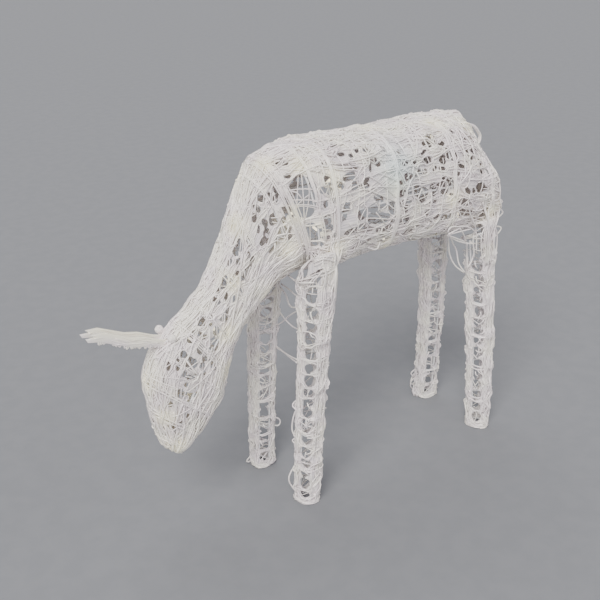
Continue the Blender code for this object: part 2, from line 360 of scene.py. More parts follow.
def laneStrands(cage, around, count, width, depths, top=1.0):
    # threads running the length of the cage over one corner wire
    strands = []
    length = (len(cage.rows) - 1.5) * top
    for _ in range(count):
        begin = rng.uniform(0, 0.5) * length
        end = min(begin + rng.uniform(0.25, 0.7) * length, length)
        steps = max(int((end - begin) * cage.lengthAlong.mean() / threads["laneStep"]), 8)
        a = np.linspace(begin, end, steps)
        swing = rng.normal(0, width / 2) + width * np.sin(a * rng.uniform(0.25, 0.6) + rng.uniform(0, 6.28))
        b = around * cage.columns + swing / cage.lengthAround.mean()
        depth = rng.uniform(*depths) + threads["laneWave"] * np.sin(a * rng.uniform(0.4, 1.2))
        strands.append((cage.place(a, b, depth), rng.uniform(*threads["thickness"])))
    return strands


def tufts(cage, count, centres, spread, height):
    # short threads that bow out of the winding and roughen its outline
    strands = []
    t = np.linspace(-0.5, 0.5, 8)
    for _ in range(count):
        a = rng.uniform(0.04, 0.96) * cage.bodyRows
        b = (rng.choice(centres) + rng.normal(0, spread)) * cage.columns
        reach = rng.uniform(*threads["tuftReach"])
        turn = rng.uniform(-1.0, 1.0) if rng.uniform() < 0.6 else rng.uniform(0, math.pi)
        rise = rng.uniform(0.5, 1.0) * height * np.cos(t * math.pi) ** 2
        along = t * reach * math.cos(turn) / cage.lengthAlong.mean()
        around = t * reach * math.sin(turn) / cage.lengthAround.mean()
        line = cage.place(a + along, b + around, threads["startDepth"] - rise)
        strands.append((line, rng.uniform(*threads["thickness"])))
    return strands


def crossingStrands(cage, window, lines, depth=threads["startDepth"]):
    # nearly straight threads across one window, their ends given in halves of its length and height
    along, around, length, height, tilt = window
    a0, b0, stepA, stepB = cage.cell(along, around)
    strands = []
    for (p0, q0), (p1, q1), share in lines:
        t = np.linspace(0, 1, 7)
        bend = rng.normal(0, 0.06) * np.sin(t * math.pi)
        p = (p0 + (p1 - p0) * t + bend) * length / 2
        q = (q0 + (q1 - q0) * t + bend) * height / 2
        u = p * math.cos(tilt) - q * math.sin(tilt)
        v = p * math.sin(tilt) + q * math.cos(tilt)
        strands.append((cage.place(a0 + u / stepA, b0 + v / stepB, np.full(7, depth)), share))
    return strands


# Sizes of window from which threads may cross it, one does and two may
crossings = {"from": 0.013, "oneFrom": 0.020, "twoFrom": 0.022, "thickness": (0.55, 0.9)}


def randomCrossings(cage, windows):
    strands = []
    for window in windows:
        size = max(window[2], window[3])
        if size < crossings["from"]:
            continue
        least, most = int(size > crossings["oneFrom"]), 1 + int(size > crossings["twoFrom"])
        lines = []
        for _ in range(rng.integers(least, most + 1)):
            turn = rng.uniform(0, math.pi)
            p, q = 1.25 * math.cos(turn), 1.25 * math.sin(turn)
            off = rng.normal(0, 0.25)
            thickness = rng.uniform(*crossings["thickness"])
            lines.append(((p + off, q - off), (-p + off, -q - off), thickness))
        strands += crossingStrands(cage, window, lines)
    return strands


# Thread, wire and other pieces

def workOn(piece=None):
    # an operator acts on all that is selected, so one piece is selected at a time
    if bpy.context.mode != "OBJECT":
        bpy.ops.object.mode_set(mode="OBJECT")
    bpy.ops.object.select_all(action="DESELECT")
    if piece:
        piece.select_set(True)
        bpy.context.view_layer.objects.active = piece


def newObject(name, data):
    piece = bpy.data.objects.new(name, data)
    bpy.context.scene.collection.objects.link(piece)
    return piece


def cleanMesh(merge=None, turnOutwards=False):
    bpy.ops.object.mode_set(mode="EDIT")
    bpy.ops.mesh.select_all(action="SELECT")
    if merge:
        bpy.ops.mesh.remove_doubles(threshold=merge)
    if turnOutwards:
        bpy.ops.mesh.normals_make_consistent(inside=False)
    bpy.ops.object.mode_set(mode="OBJECT")


def newCurve(name, bevel, bevelSteps):
    curve = bpy.data.curves.new(name, "CURVE")
    curve.bevel_depth = bevel
    curve.bevel_resolution = bevelSteps
    return curve


def addSpline(curve, points, share=1.0, closed=False):
    spline = curve.splines.new("POLY")
    spline.points.add(len(points) - 1)
    spline.points.foreach_set("co", np.c_[points, np.ones(len(points))].ravel())
    spline.points.foreach_set("radius", np.full(len(points), share))
    spline.use_cyclic_u = closed
    spline.use_smooth = True


def curveToMesh(name, curve):
    workOn(newObject(name, curve))
    bpy.ops.object.convert(target="MESH")
    piece = bpy.context.view_layer.objects.active
    piece.name = piece.data.name = name
    return piece


def tubes(name, strands, radius, sides, closedLoops=()):
    # round tubes along the given lines, made one mesh with closed ends
    curve = newCurve(name, radius, sides // 2 - 2)
    curve.dimensions = "3D"
    curve.use_fill_caps = True
    for closed, group in ((False, strands), (True, closedLoops)):
        for points, share in group:
            addSpline(curve, points, share, closed)
    piece = curveToMesh(name, curve)
    cleanMesh(merge=0.00001)
    bpy.ops.object.shade_smooth()
    keepAboveFloor(piece)
    return piece


def pointsOf(piece):
    points = np.empty(len(piece.data.vertices) * 3)
    piece.data.vertices.foreach_get("co", points)
    return points.reshape(-1, 3)


def keepAboveFloor(piece):
    points = pointsOf(piece)
    points[:, 2] = np.maximum(points[:, 2], 0.0002 + 0.0001 * np.sin(points[:, 0] * 900))
    piece.data.vertices.foreach_set("co", points.ravel())
    piece.data.update()


skin = {"thickness": 0.0013, "rimShift": 0.0022, "smoothBelow": 50, "glowReach": 0.022}


def windSkin(name, cage, field, depth):
    # the fused thread between the strands: a thin skin with the windows cut out, its thread lay in a UV map
    rows, columns = field.shape
    nextField = np.roll(field, -1, 1)
    keep = (field[:-1] + nextField[:-1] + field[1:] + nextField[1:]) / 4 < 0.5
    for _ in range(6):
        # faces that would meet only at a corner get a neighbour
        p, q = keep[:-1], np.roll(keep, -1, 1)[:-1]
        r, s = keep[1:], np.roll(keep, -1, 1)[1:]
        falling, rising = p & s & ~q & ~r, q & r & ~p & ~s
        keep[1:] |= falling
        keep[:-1] |= rising
    padded = np.zeros((rows + 1, columns), bool)
    padded[1:-1] = keep
    left = np.roll(padded, 1, 1)
    kept = padded[:-1].astype(int) + padded[1:] + left[:-1] + left[1:]
    rim = (kept > 0) & (kept < 4)
    rim[0] = rim[-1] = False
    slopeA, slopeB = cage.slopes(field)
    steep = np.hypot(slopeA, slopeB) + 1e-6
    # the rims are drawn on to the windows' outlines
    shift = np.clip((0.5 - field) / steep, -skin["rimShift"], skin["rimShift"]) * rim
    a = np.arange(rows)[:, None] + shift * slopeA / steep / cage.lengthAlong
    b = np.arange(columns)[None, :] + shift * slopeB / steep / cage.lengthAround
    points = cage.place(a.ravel(), b.ravel(), np.full(rows * columns, depth))
    i, j = np.nonzero(keep)
    corners = np.array([[i, j], [i + 1, j], [i + 1, j + 1], [i, j + 1]]).transpose(2, 0, 1)
    if cage.side < 0:
        corners = corners[:, ::-1]
    used, faces = np.unique(corners[:, :, 0] * columns + corners[:, :, 1] % columns, return_inverse=True)
    mesh = bpy.data.meshes.new(name)
    mesh.from_pydata(points[used].tolist(), [], faces.reshape(-1, 4).tolist())
    size = (cage.lengthAlong.mean(), cage.lengthAround.mean())
    lay = (corners.reshape(-1, 2) * size).astype(np.float32)
    mesh.uv_layers.new(name="lay").data.foreach_set("uv", lay.ravel())
    piece = newObject(name, mesh)
    workOn(piece)
    solid = piece.modifiers.new("skin", "SOLIDIFY")
    solid.thickness = skin["thickness"]
    solid.offset = -1
    bpy.ops.object.modifier_apply(modifier="skin")
    cleanMesh(turnOutwards=True)
    bpy.ops.object.shade_smooth_by_angle(angle=math.radians(skin["smoothBelow"]))
    keepAboveFloor(piece)
    return piece


# A place on the flank where the threads look faintly blue-green
coolPatch = {"centre": (0.145, -0.095, 0.690), "reach": (0.045, 0.060, 0.050), "strength": 0.8}


def addGlow(piece, glowSources, reach):
    # how near each point is to a light, for the glow (on threads a painted glow of the lamps' light, on the
    # lamps their own), and to the cool patch, for the thread's colour
    points = pointsOf(piece)
    glow = np.zeros(len(points))
    for warm in glowSources:
        glow += np.exp(-((np.linalg.norm(points - warm, axis=1) / reach) ** 2))
    away = (points - coolPatch["centre"]) / coolPatch["reach"]
    cool = coolPatch["strength"] * np.exp(-(away**2).sum(axis=1))
    for name, values in (("glow", np.clip(glow, 0, 1)), ("cool", cool)):
        attribute = piece.data.attributes.new(name, "FLOAT", "POINT")
        attribute.data.foreach_set("value", values.astype(np.float32))


def finishPiece(piece, material, node):
    piece.data.materials.clear()
    piece.data.materials.append(material)
    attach(piece, "root")
    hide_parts(node)


def finishThread(piece, node, material=None, reach=0.020, glowSources=None):
    # threads get a painted glow of the lamps' light, or of the given points, in colour and emission
    addGlow(piece, bulbs if glowSources is None else glowSources, reach)
    finishPiece(piece, material or threadMaterial, node)


# Materials

def plug(tree, value, socket):
    # links an output to the socket, or sets the socket's own value
    if isinstance(value, bpy.types.NodeSocket):
        tree.links.new(value, socket)
    else:
        socket.default_value = (*value, 1) if socket.type == "RGBA" else value


def addNode(tree, kind, inputs=(), **settings):
    node = tree.nodes.new(kind)
    for key, value in settings.items():
        setattr(node, key, value)
    for key, value in dict(inputs).items():
        plug(tree, value, node.inputs[key])
    return node.outputs


def mixed(tree, factor, a, b):
    return addNode(tree, "ShaderNodeMix", {"Factor": factor, "A": a, "B": b}, data_type="RGBA")["Result"]


def newGroup(name, inputs, outputs):
    group = bpy.data.node_groups.new(name, "ShaderNodeTree")
    for direction, sockets in (("INPUT", inputs), ("OUTPUT", outputs)):
        for socket, kind in sockets.items():
            group.interface.new_socket(name=socket, in_out=direction, socket_type=kind)
    return group, addNode(group, "NodeGroupInput")


def makeGrainGroup():
    # fine unevenness of a drawn or coated surface: a height for bump and a mask for tint and gloss
    group, given = newGroup("surfaceGrain", {"Vector": "NodeSocketVector", "Scale": "NodeSocketFloat"},
                            {"Height": "NodeSocketFloat", "Mask": "NodeSocketFloat"})
    place = given["Vector"]
    fine = addNode(group, "ShaderNodeTexNoise", {"Vector": place, "Scale": given["Scale"], "Detail": 4})
    patches = addNode(group, "ShaderNodeTexNoise", {"Vector": place, "Scale": 22, "Detail": 3})
    spread = addNode(group, "ShaderNodeMapRange", {
        "Value": patches["Fac"], "From Min": 0.40, "From Max": 0.62})
    addNode(group, "NodeGroupOutput", {"Height": fine["Fac"], "Mask": spread["Result"]})
    return group


def makeLayGroup():
    # the lay of fused threads: three sets of ridges, of which the highest shows
    group, given = newGroup("threadLay", {"Vector": "NodeSocketVector"}, {"Height": "NodeSocketFloat"})
    height = None
    for turn, stretch in ((0.25, 330), (-0.35, 260), (1.45, 240)):
        turned = addNode(group, "ShaderNodeMapping", {
            "Vector": given["Vector"], "Rotation": (0, 0, turn), "Scale": (28, stretch, 1)})
        ridge = addNode(group, "ShaderNodeTexNoise", {
            "Vector": turned["Vector"], "Scale": 1, "Detail": 1})["Fac"]
        if height:
            ridge = addNode(group, "ShaderNodeMath", {0: height, 1: ridge}, operation="MAXIMUM")["Value"]
        height = ridge
    addNode(group, "NodeGroupOutput", {"Height": height})
    return group


grainGroup = makeGrainGroup()
layGroup = makeLayGroup()


def grainedMaterial(name, look):
    # a Principled material whose colour, gloss and bump come from the grain group, and a fused thread's
    # also from the lay group, whose hollows get a painted shade colour
    material = bpy.data.materials.new(name)
    material.use_nodes = True
    tree = material.node_tree
    place = addNode(tree, "ShaderNodeTexCoord")["Object"]
    grain = addNode(tree, "ShaderNodeGroup", {"Vector": place, "Scale": look["grainScale"]},
                    node_tree=grainGroup)
    tint = mixed(tree, grain["Mask"], look["colourA"], look["colourB"])
    least, most = look["roughness"]
    gloss = addNode(tree, "ShaderNodeMapRange", {"Value": grain["Height"], "To Min": least, "To Max": most})
    normal = addNode(tree, "ShaderNodeBump", {
        "Strength": look["bump"], "Distance": 0.0005, "Height": grain["Height"]})["Normal"]
    if "layDepth" in look:
        where = addNode(tree, "ShaderNodeUVMap", uv_map="lay")["UV"]
        lay = addNode(tree, "ShaderNodeGroup", {"Vector": where}, node_tree=layGroup)["Height"]
        normal = addNode(tree, "ShaderNodeBump", {
            "Strength": 1.0, "Distance": look["layDepth"], "Height": lay, "Normal": normal})["Normal"]
        # painted shade: the low places of the lay are darkened to the hollow shade colour
        shade = addNode(tree, "ShaderNodeMapRange", {"Value": lay, "From Min": 0.45, "From Max": 0.68})
        tint = mixed(tree, shade["Result"], look["paintedHollowShade"], tint)
    finish = {"Roughness": gloss["Result"], "Normal": normal}
    finish.update({"Coat Weight": look["coat"], "Coat Roughness": 0.15})
    # painted glow: near the lamps the colour turns warm and emits, standing in for the lamps' light on
    # threads; on the lamps it is their own light
    if "glowColour" in look:
        glow = addNode(tree, "ShaderNodeAttribute", attribute_name="glow")["Fac"]
        tint = mixed(tree, glow, tint, look["glowColour"])
        finish["Emission Color"] = mixed(tree, glow, (0, 0, 0), look["glowColour"])
        finish["Emission Strength"] = look["glowStrength"]
    if "coolColour" in look:
        cool = addNode(tree, "ShaderNodeAttribute", attribute_name="cool")["Fac"]
        tint = mixed(tree, cool, tint, look["coolColour"])
    finish["Base Color"] = tint
    for key, value in finish.items():
        plug(tree, value, tree.nodes["Principled BSDF"].inputs[key])
    return material


threadFinish = {
    "colourA": (0.91, 0.84, 0.85),
    "colourB": (0.96, 0.92, 0.85),
    "coolColour": (0.74, 0.84, 0.84),
    # the painted glow of the lamps' light in the threads
    "glowColour": (0.92, 0.88, 0.72),
    "glowStrength": 0.16,
    "roughness": (0.16, 0.34),
    "grainScale": 380,
    "bump": 0.25,
    "coat": 0.5,
}
# the fused thread gets a painted shade colour in the hollows of its lay
skinFinish = dict(threadFinish, layDepth=0.0028, paintedHollowShade=(0.66, 0.61, 0.65), colourA=(0.88, 0.81, 0.82))
wireFinish = {
    "colourA": (0.82, 0.82, 0.84),
    "colourB": (0.90, 0.90, 0.90),
    "roughness": (0.25, 0.40),
    "grainScale": 900,
    "bump": 0.3,
    "coat": 0.3,
}
bulbFinish = {
    "colourA": (0.95, 0.90, 0.72),
    "colourB": (0.98, 0.95, 0.82),
    "glowColour": (1.0, 0.90, 0.66),
    "glowStrength": 1.6,
    "roughness": (0.08, 0.18),
    "grainScale": 500,
    "bump": 0.05,
    "coat": 0.5,
}
threadMaterial = grainedMaterial("spun acrylic thread", threadFinish)
skinMaterial = grainedMaterial("fused acrylic thread", skinFinish)
wireMaterial = grainedMaterial("white coated frame wire", wireFinish)
bulbMaterial = grainedMaterial("warm white lamp", bulbFinish)


# The cages' shapes. Each section of the torso, chest to rump, and of the neck and head has its crest's x and
# z, its keel's x and z and its half width in mm, its squareness, and how much it narrows upwards
torsoShape = {
    "sections": (
        (-63, 736, 30, 503, 74, 2.4),
        (10, 752, 50, 498, 96, 2.6),
        (85, 757, 88, 500, 105, 2.6),
        (165, 756, 170, 504, 104, 2.6),
        (248, 756, 258, 504, 102, 2.6),
        (335, 758, 350, 502, 104, 2.6),
        (405, 760, 440, 496, 109, 2.5, 0.1),
        (441, 759, 512, 490, 106, 2.4, 0.33),
        (465, 752, 560, 494, 95, 2.3, 0.6),
        (479, 734, 567, 530, 68, 2.1, 0.72),
    ),
    "rowSpacing": 0.0038,
    "columns": 200,
    "cap": 0.004,
}
neckShape = {
    "sections": (
        (-63, 736, 30, 503, 74, 2.4),
        (-88, 690, -15, 490, 62, 2.3),
        (-112, 640, -50, 468, 54, 2.3),
        (-140, 580, -85, 435, 48, 2.3),
        (-172, 525, -112, 400, 45, 2.3),
        (-210, 480, -135, 360, 46, 2.3),
        (-258, 445, -150, 310, 50, 2.3),
        (-300, 402, -158, 272, 52, 2.3),
        (-314, 350, -184, 240, 48, 2.3),
        (-311, 297, -208, 213, 40, 2.3),
        (-301, 246, -231, 189, 32, 2.3),
        (-288, 204, -252, 176, 23, 2.2),
    ),
    "rowSpacing": 0.0040,
    "columns": 96,
    "cap": 0.003,
}
legShape = {
    "shares": (0.0, 0.17, 0.34, 0.51, 0.68, 0.85, 1.0),  # heights of the sections, of the leg's whole height
    "squareness": 2.8,
    "rowSpacing": 0.0042,
    "columns": 48,
    "cap": 0.010,
}
frontLeg = {
    "footX": 0.000,
    "footY": 0.085,
    "topOut": 0.006,
    "topHeight": 0.538,
    "topSlope": 0.8,
    "leans": (0.000, 0.002, 0.004, 0.008, 0.012, 0.016, 0.018),
    "halfWidths": (0.0240, 0.0245, 0.0250, 0.0260, 0.0275, 0.0310, 0.0330),
}
hindLeg = {
    "footX": 0.517,
    "footY": 0.092,
    "topOut": -0.021,
    "topHeight": 0.514,
    "topSlope": 0.6,
    "leans": (0.000, -0.001, -0.003, -0.007, -0.013, -0.022, -0.029),
    "halfWidths": (0.0240, 0.0245, 0.0250, 0.0260, 0.0275, 0.0300, 0.0320),
}


def makeCage(rows, shape):
    # a smooth curve through each column of the table, with rows evenly spaced along the cage
    rows = np.array(rows)
    knots = walked(rows[:, :3])
    count = max(int(knots[-1] / shape["rowSpacing"]), 8)
    rows = smoothThrough(rows, knots, np.linspace(0, knots[-1], count + 1))
    return Cage(cappedRows(rows, shape["cap"]), shape["columns"], count)


torsoCage, neckCage = (
    makeCage([sectionRow(*np.array(row[:5]) / 1000, *row[5:]) for row in shape["sections"]], shape)
    for shape in (torsoShape, neckShape)
)
legs = {}
for legName, leg in (("front", frontLeg), ("hind", hindLeg)):
    for sideName, side in (("left", -1), ("right", 1)):
        legs[f"{legName}_{sideName}"] = makeCage(legRows(leg, side), legShape)
print("cages laid out")


# Frames: hoops at shares of the cage's length, with long wires between them
frames = {
    "torso": {"hoops": (0.012, 0.075, 0.14, 0.42, 0.71, 0.92), "inward": 0.0085},
    "head_and_neck": {"hoops": (0.06, 0.20, 0.34, 0.48, 0.58, 0.68, 0.78, 0.88, 0.97), "inward": 0.0078},
    "leg": {"hoops": (0.012, 0.16, 0.32, 0.48, 0.64, 0.80, 0.96), "inward": 0.0068},
}
wireRadius = 0.0021
# Legs: thick bumpy columns, the lanes, run over the corner wires, with ladders of windows between them
nearLadder = {
    "wide": (0.023, 0.031),
    "places": ((0.655, 0.0), (0.050, 0.044)),
    "wires": (0.875, 0.25, 0.49, 0.76),
    "lanes": (0.78, 0.84, 0.90, 0.54, 0.48, 0.41, 0.35, 0.28, 0.21, 0.16),
}
farLadder = {
    "wide": (0.030, 0.039),
    "places": ((0.542, 0.0), (0.150, 0.044), (0.930, 0.022)),
    "wires": (0.0, 0.30, 0.43, 0.65),
    "lanes": (0.65, 0.72, 0.79, 0.84, 0.03, 0.30, 0.36, 0.42),
}


def ladderOf(legName):
    return nearLadder if legName.endswith("left") else farLadder


def wireFrame(name, cage, plan, angles):
    rows = cage.rows[:cage.bodyRows + 1]
    hoopAt = [int(share * (len(rows) - 1)) for share in plan["hoops"]]
    hoops = [sectionPoints(rows[i], np.linspace(0, fullTurn, 49)[:-1], plan["inward"]) for i in hoopAt]
    between = rows[hoopAt[0]:hoopAt[-1] + 1:3]
    wires = np.array([sectionPoints(row, np.array(angles), plan["inward"]) for row in between])
    strands = [(wires[:, k], 1.0) for k in range(len(angles))]
    piece = tubes(f"{name}_frame", strands, wireRadius, 8, [(hoop, 1.0) for hoop in hoops])
    finishPiece(piece, wireMaterial, f"{name}_wire_frame")
    return hoops


torsoHoops = wireFrame("torso", torsoCage, frames["torso"], [i * math.pi / 3 for i in range(6)])
neckHoops = wireFrame("head_and_neck", neckCage, frames["head_and_neck"],
                      [i * math.pi / 2 for i in range(4)])
for name, cage in legs.items():
    wireFrame(f"{name}_leg", cage, frames["leg"], [fullTurn * turn for turn in ladderOf(name)["wires"]])
print("frames made")

# Lights: small lamps on the hoops, each a short round-nosed cylinder
lamps = {
    "radius": 0.0026,
    "length": 0.012,
    "profile": (0, 0.0002, 0.35, 0.75, 0.92, 1.0),
    "inward": 0.004,
    "torso": ((0.07, 0.30, 0.48, 0.80), 0.06),  # turns round the first hoop, and more for each hoop on
    "neck": ((0.18, 0.55), 0.12),
    "glowReach": 0.05,
}
bulbs, bulbLines = [], []
for hoops, (turns, step) in ((torsoHoops, lamps["torso"]), (neckHoops, lamps["neck"])):
    for k, hoop in enumerate(hoops):
        centre = hoop.mean(axis=0)
        for turn in turns:
            at = hoop[int((turn + step * k) % 1 * len(hoop))]
            inward = (centre - at) / np.linalg.norm(centre - at)
            reaches = np.array(lamps["profile"]) * lamps["length"]
            bulbs.append(at)
            bulbLines.append((at + inward * lamps["inward"] + reaches[:, None] * inward, 1.0))
bulbs = np.array(bulbs)
bulbPiece = tubes("lamps_inside", bulbLines, lamps["radius"], 8)
addGlow(bulbPiece, bulbs, lamps["glowReach"])
finishPiece(bulbPiece, bulbMaterial, "torso_wire_frame")
print("lamps placed", len(bulbs))


def windowTable(*rows):
    # windows left open in a winding: shares along and round in thousandths, length and height in mm, and
    # tilt in tenths of a radian
    return [tuple(row) for row in np.array(rows) / (1000, 1000, 1000, 1000, 10)]


def otherSide(windows, outlook):
    # windows of the far side, where one looks out through those of the near side
    far = []
    for a, b, length, height, tilt in windows:
        along = a + np.interp(a, outlook["along"], outlook["shift"])
        around = 0.5 - np.interp(a, outlook["along"], outlook["drop"]) - b
        if 0.01 < along < 0.96:
            grown = outlook["grown"]
            far.append((along, around % 1, length * grown, height * grown, -tilt))
    return far


def scattered(count, alongRange, aroundRange, lengths, heights, tilt):
    return [
        (rng.uniform(*alongRange), rng.uniform(*aroundRange) % 1, rng.uniform(*lengths),
         rng.uniform(*heights), rng.normal(tilt, 0.5))
        for _ in range(count)
    ]


def near(value, centre, width):
    away = np.abs((value - centre + 0.5) % 1 - 0.5)
    return np.exp(-((away / width) ** 2))


def windAll(name, cage, windows, winding, extra):
    # one cage's winding: the fused skin and the strands over and under it
    node = f"{name}_thread_cover"
    field = cage.windowField(windows)
    fused = windSkin(f"{name}_fused_threads", cage, field, winding["skinDepth"])
    strands = windCage(cage, field, winding) + extra
    strands += randomCrossings(cage, windows[::winding["crossEvery"]])
    parts = {"": strands}
    if len(strands) >= threads["halveAt"]:
        parts = {"_inner": strands[::2], "_outer": strands[1::2]}
    finishThread(fused, node, skinMaterial, skin["glowReach"])
    for ending, part in parts.items():
        piece = tubes(f"{name}_threads{ending}", part, threads["radius"], 4)
        finishThread(piece, node, threadMaterial, skin["glowReach"])
    print(name, "wound with", len(strands), "threads")


def windBody(name, cage, winding, lastWindows):
    # the torso, or the head and neck: random small windows between the drawn ones, tufts, crossings, bands
    cage.relief = winding["bumpHeight"] * cage.bumps(winding["bumpSize"])
    cage.ridges(frames[name]["hoops"], winding["hoopRise"])
    cage.relief *= np.clip(cage.along / 0.03, 0, 1)
    lots = [scattered(*lot) for lot in winding["lots"]]
    windows = winding["windows"] + lots[0] + otherSide(winding["windows"], winding["outlook"]) + lots[1]
    windows += otherSide(winding["chest"], winding["outlook"]) + sum(lots[2:], []) + lastWindows
    extra = []
    for makeExtra, rows in ((tufts, winding["tufts"]), (crossingStrands, winding["crossed"]),
                            (bandStrands, winding["bands"])):
        for row in rows:
            extra += makeExtra(cage, *row)
    layers, *more = winding["cover"]
    for amount, centre, width in more:
        layers = layers + amount * near(cage.around, centre, width)
    windAll(name, cage, windows, dict(winding, layers=layers), extra)


# Chest: a large bay and a hole on each side, with a few straight threads across them
chestBay, chestHole = windowTable((40, 429, 79, 54, -12), (34, 548, 60, 31, -14))
chestWindows = [chestBay, chestHole]
chestWindows += [(a, (0.5 - b) % 1, length, height, -tilt) for a, b, length, height, tilt in chestWindows]
bayLines = [
    ((-1.2, -0.4), (1.2, -0.28), 0.7), ((-1.2, 0.22), (0.9, 0.3), 0.75), ((-0.55, -1.2), (-0.45, 1.2), 0.8),
    ((-0.12, -1.2), (-0.04, 1.2), 0.9), ((0.38, -1.2), (0.42, 1.2), 1.0), ((-0.5, -0.6), (0.2, 0.4), 0.6),
]
holeLines = [((-1.1, -1.3), (-0.75, 1.3), 1.3), ((0.85, -1.3), (1.0, 1.3), 1.2)]

# Windings. "outlook" says how far along and round the cage a look through a window comes out, by its share
# along, and how much larger the window is there. "lots" are random windows: how many, where along and round,
# lengths, heights and tilt. "cover" is how many layers lie all over, and how many more round which places of
# the girth. "kinds" are kinds of thread: share of all, heading and its spread, lengths, and the amount and
# wave lengths of its sway. "tufts", "crossed" and "bands" are rows for the functions that make these
torsoWinding = {
    "bumpHeight": 0.0017,
    "bumpSize": 0.026,
    "hoopRise": 0.0012,
    "windows": windowTable(
        (200, 312, 19, 9, -4), (200, 346, 14, 7, 1), (270, 346, 18, 7, -1), (200, 383, 45, 6, 2),
        (200, 408, 29, 13, -2), (220, 433, 19, 12, 6), (270, 442, 16, 6, 2), (160, 425, 17, 11, 7),
        (120, 400, 14, 9, 4), (120, 429, 13, 9, 2), (320, 479, 16, 8, 2), (180, 479, 15, 10, -1),
        (320, 504, 46, 17, 0), (400, 517, 25, 21, 8), (250, 512, 23, 21, -2), (150, 508, 18, 12, 2),
        (330, 537, 60, 21, 2), (270, 558, 49, 9, 2), (200, 550, 30, 12, -2), (100, 508, 14, 14, 2),
        (90, 529, 14, 12, 2), (380, 575, 22, 11, -2), (500, 613, 30, 10, 0), (470, 562, 19, 17, 7),
        (550, 504, 29, 26, -9), (610, 504, 17, 11, 15), (640, 492, 23, 21, 2), (700, 492, 17, 11, 16),
        (660, 508, 17, 13, 2), (580, 412, 21, 14, 2), (660, 417, 18, 11, -13), (710, 412, 29, 19, 2),
        (650, 442, 16, 6, 2), (550, 438, 27, 10, 2), (470, 517, 14, 12, 2), (850, 504, 29, 22, -5),
        (750, 542, 17, 11, 1), (780, 583, 48, 16, 2), (870, 604, 26, 21, 2), (880, 579, 15, 13, 2),
        (700, 583, 12, 10, 2), (630, 579, 15, 12, 2), (580, 562, 15, 9, 2), (500, 483, 34, 13, -1),
        (30, 358, 16, 5, 4), (50, 371, 17, 6, 1), (30, 304, 23, 6, -2), (40, 321, 13, 6, 2),
        (120, 400, 10, 8, -13), (100, 425, 13, 10, -13), (120, 433, 13, 6, -14), (100, 463, 12, 7, -14),
        (100, 496, 14, 6, -1), (110, 529, 12, 10, -15), (80, 529, 16, 6, -1), (90, 554, 16, 7, 1),
        (70, 575, 10, 8, -15), (80, 604, 12, 8, -4),
    ),
    "chest": [chestBay, chestHole],
    "outlook": {"along": (0.0, 0.1, 0.2, 0.6), "shift": (0.235, 0.28, 0.30, 0.33), "drop": (0.11,) * 4,
                "grown": 1.3},
    "lots": (
        (115, (0.12, 0.95), (0.34, 0.62), (0.007, 0.021), (0.004, 0.009), 0.1),
        (60, (0.12, 0.95), (-0.10, 0.16), (0.007, 0.019), (0.004, 0.009), 0),
        (26, (0.10, 0.92), (0.66, 0.84), (0.010, 0.030), (0.006, 0.014), 0),
        (12, (0.96, 1.02), (0.30, 0.70), (0.007, 0.014), (0.005, 0.009), 0),
    ),
    "tufts": ((90, (0.25, 0.22, 0.28), 0.05, 0.0045), (50, (0.60, 0.90, 0.75), 0.06, 0.0040)),
    "crossed": [(window, bayLines, 0.0035) for window in chestWindows[::2]]
    + [(window, holeLines, 0.003) for window in chestWindows[1::2]],
    "bands": [(share, count, 0.0022, (-0.0006, 0.004))
              for share, count in zip(frames["torso"]["hoops"], (16, 9, 9, 14, 12, 14))],
    "cover": (0.75, (0.9, 0.25, 0.12), (0.5, 0.60, 0.04)),
    "kinds": (
        (0.48, 0.0, 0.25, (0.20, 0.50), (0.18, 0.12, 0.40)),
        (0.32, 0.80, 0.35, (0.10, 0.26), (0.15, 0.12, 0.40)),
        (0.20, 1.50, 0.20, (0.10, 0.30), (0.20, 0.10, 0.30)),
    ),
    "stride": 0.0075,
    "depths": (0.0, 0.0042),
    "skinDepth": 0.0042,
    "crossEvery": 1,
}
